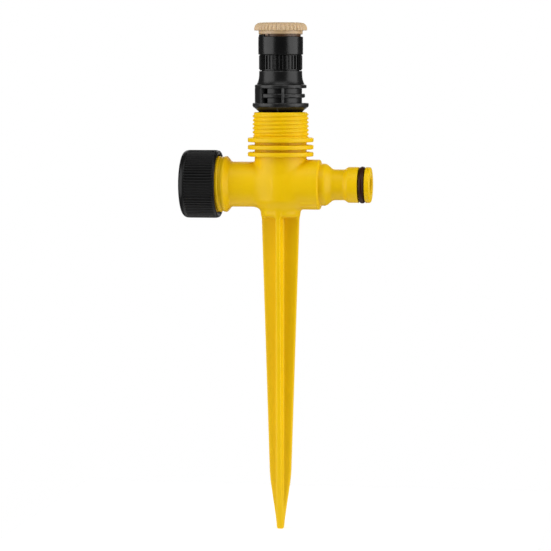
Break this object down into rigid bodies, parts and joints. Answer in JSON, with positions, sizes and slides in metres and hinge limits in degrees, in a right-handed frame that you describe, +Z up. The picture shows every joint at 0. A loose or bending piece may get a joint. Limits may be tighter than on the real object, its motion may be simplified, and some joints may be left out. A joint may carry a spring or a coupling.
{
  "type": "lawn spray sprinkler on a ground spike",
  "caption": "Yellow ground-spike sprinkler body with hose spigot and capped side port, black riser and spray nozzle with a tan arc-adjusting cap.",
  "frame": {"origin": "on the spike's axis at soil level, 30 mm below the arms' axis", "axes": "+Z up along the spike and the nozzle, +X out of the hose spigot, -Y the front"},
  "size_m": [0.0867, 0.031, 0.2322],
  "materials": {
    "yellow_plastic": "satin injection moulding",
    "black_plastic": "satin injection moulding",
    "tan_plastic": "satin injection moulding",
    "seal_rubber": "smooth moulded rubber",
    "filter_plastic": "natural moulded plastic",
    "screw_steel": "turned stainless steel"
  },
  "bodies": {
    "spike": {"spike_body": "yellow_plastic", "spigot_o_ring": "seal_rubber"},
    "cap_carriage": {"end_cap_washer": "seal_rubber"},
    "cap": {"end_cap": "black_plastic"},
    "riser_carriage": {"riser_seal_ring": "seal_rubber"},
    "riser": {"riser_adapter": "black_plastic"},
    "nozzle_carriage": {"filter_screen": "filter_plastic", "nozzle_washer": "seal_rubber"},
    "nozzle": {"nozzle_body": "black_plastic", "arc_core": "black_plastic"},
    "arc_cap": {"arc_adjust_cap": "tan_plastic", "arc_seal_ring": "seal_rubber"},
    "flow_screw": {"flow_screw": "screw_steel"},
    "throttle": {"throttle_plug": "filter_plastic"}
  },
  "joints": [
    {"name": "cap_travel", "type": "slide", "parent": "spike", "child": "cap_carriage", "axis": [-1, 0, 0], "range_m": [0, 0.0109]},
    {"name": "cap_turn", "type": "hinge", "parent": "cap_carriage", "child": "cap", "pos_m": [-0.0367, 0, 0.03], "axis": [-1, 0, 0], "range_deg": [0, 2160]},
    {"name": "riser_travel", "type": "slide", "parent": "spike", "child": "riser_carriage", "axis": [0, 0, 1], "range_m": [0, 0.00727]},
    {"name": "riser_turn", "type": "hinge", "parent": "riser_carriage", "child": "riser", "pos_m": [0, 0, 0.06], "axis": [0, 0, 1], "range_deg": [0, 1440]},
    {"name": "nozzle_travel", "type": "slide", "parent": "riser", "child": "nozzle_carriage", "axis": [0, 0, 1], "range_m": [0, 0.00471]},
    {"name": "nozzle_turn", "type": "hinge", "parent": "nozzle_carriage", "child": "nozzle", "pos_m": [0, 0, 0.09], "axis": [0, 0, 1], "range_deg": [0, 1800]},
    {"name": "arc_turn", "type": "hinge", "parent": "nozzle", "child": "arc_cap", "pos_m": [0, 0, 0.1], "axis": [0, 0, 1], "range_deg": [0, 315]},
    {"name": "flow_turn", "type": "hinge", "parent": "nozzle", "child": "flow_screw", "pos_m": [0, 0, 0.1], "axis": [0, 0, -1], "range_deg": [0, 2520]},
    {"name": "throttle_travel", "type": "slide", "parent": "nozzle", "child": "throttle", "axis": [0, 0, 1], "range_m": [0, 0.00315]}
  ],
  "couplings": [
    {"joint": "cap_travel", "follows": "cap_turn", "m_per_rad": 0.00028871},
    {"joint": "riser_travel", "follows": "riser_turn", "m_per_rad": 0.00028871},
    {"joint": "nozzle_travel", "follows": "nozzle_turn", "m_per_rad": 0.00014961},
    {"joint": "flow_turn", "follows": "throttle_travel", "rad_per_m": 13963}
  ]
}
